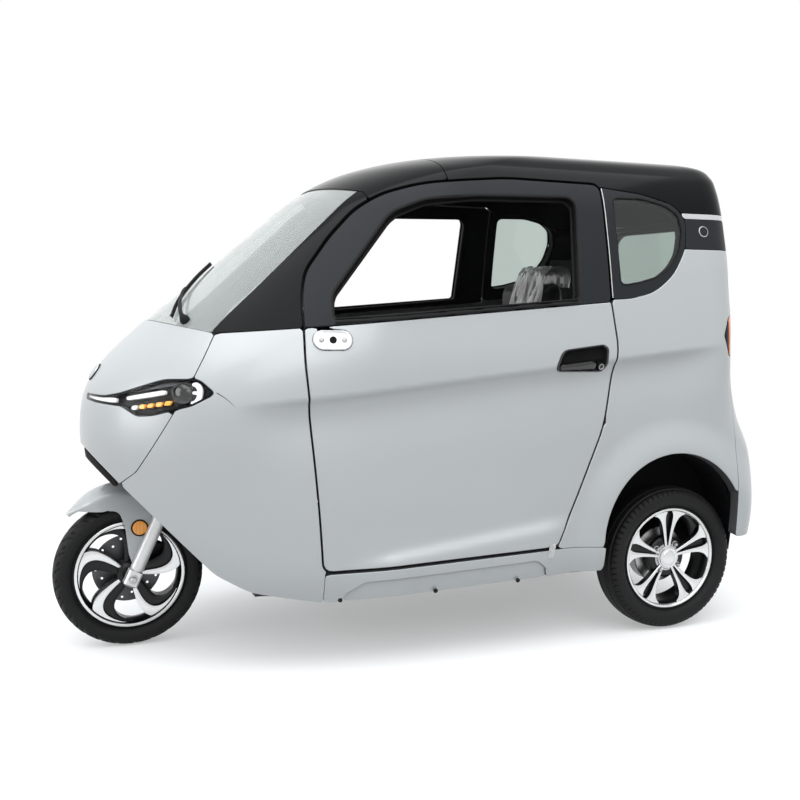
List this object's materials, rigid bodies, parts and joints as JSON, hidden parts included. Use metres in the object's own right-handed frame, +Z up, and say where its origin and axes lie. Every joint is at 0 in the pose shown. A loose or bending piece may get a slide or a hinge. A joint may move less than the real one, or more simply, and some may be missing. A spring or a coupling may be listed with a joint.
{
  "type": "enclosed mobility scooter",
  "caption": "Enclosed cabin mobility scooter with a steered front wheel, driven rear axle, hinged doors and a glazed cab.",
  "frame": {"origin": "on the ground, midway along the length and width", "axes": "+X forward, +Y to the left, +Z up"},
  "size_m": [2.3522, 1.149, 1.6],
  "materials": {
    "silver_paint": "metallic gloss",
    "gloss_black": "gloss",
    "satin_black": "satin",
    "dark_plastic": "matt",
    "floor_mat": "matt",
    "clear_glass": "clear",
    "lamp": "clear cover",
    "red_lamp": "gloss",
    "amber": "gloss",
    "frame_paint": "satin",
    "steel": "bare",
    "alloy": "machined and dark",
    "tyre": "matt",
    "seat_cover": "satin",
    "grip_rubber": "matt",
    "bright_plate": "polished"
  },
  "bodies": {
    "chassis": {"frame": "frame_paint", "floor_pan": "floor_mat", "front_bulkheads": "dark_plastic", "nose_panel": "silver_paint", "front_quarters": "silver_paint", "sills": "silver_paint", "rear_quarters": "silver_paint", "tail_panel": "silver_paint", "rear_band": "gloss_black", "roof": "gloss_black", "a_pillars": "gloss_black", "windscreen": "clear_glass", "quarter_trims": "satin_black", "quarter_glass": "clear_glass", "rear_window": "clear_glass", "headlamps": "lamp", "tail_lamps": "red_lamp", "wheelhouses": "dark_plastic", "dashboard": "dark_plastic", "seat_base": "dark_plastic", "battery": "dark_plastic", "driver_seat": "seat_cover", "rear_bench": "seat_cover", "wiper": "satin_black", "door_hinges": "steel", "rear_axle": "frame_paint", "leaf_springs": "frame_paint"},
    "steering": {"fork": "alloy", "handlebar": "grip_rubber", "front_fender": "silver_paint", "fender_reflectors": "amber"},
    "front_wheel": {"front_rim": "alloy", "front_disc": "steel", "front_tyre": "tyre"},
    "rear_wheel_left": {"rear_rim_left": "alloy", "rear_tyre_left": "tyre"},
    "rear_wheel_right": {"rear_rim_right": "alloy", "rear_tyre_right": "tyre"},
    "door_left_body": {"door_left": "silver_paint", "door_frame_left": "satin_black", "door_handle_left": "dark_plastic", "mirror_plate_left": "bright_plate", "door_knuckles_left": "steel"},
    "door_right_body": {"door_right": "silver_paint", "door_frame_right": "satin_black", "door_handle_right": "dark_plastic", "mirror_plate_right": "bright_plate", "door_knuckles_right": "steel"}
  },
  "joints": [
    {"name": "steering_turn", "type": "hinge", "parent": "chassis", "child": "steering", "pos_m": [0.91103, 0, 0.21871], "axis": [-0.4226, 0, 0.9063], "range_deg": [-35, 35]},
    {"name": "front_wheel_spin", "type": "hinge", "parent": "steering", "child": "front_wheel", "pos_m": [0.94275, 0, 0.2335], "axis": [0, 1, 0], "continuous": true},
    {"name": "rear_wheel_left_spin", "type": "hinge", "parent": "chassis", "child": "rear_wheel_left", "pos_m": [-0.78125, 0.46, 0.244], "axis": [0, 1, 0], "continuous": true},
    {"name": "rear_wheel_right_spin", "type": "hinge", "parent": "chassis", "child": "rear_wheel_right", "pos_m": [-0.78125, -0.46, 0.244], "axis": [0, 1, 0], "continuous": true},
    {"name": "door_left_swing", "type": "hinge", "parent": "chassis", "child": "door_left_body", "pos_m": [0.41575, 0.528, 0.6], "axis": [0, 0, -1], "range_deg": [0, 65]},
    {"name": "door_right_swing", "type": "hinge", "parent": "chassis", "child": "door_right_body", "pos_m": [0.41575, -0.528, 0.6], "axis": [0, 0, 1], "range_deg": [0, 65]}
  ]
}
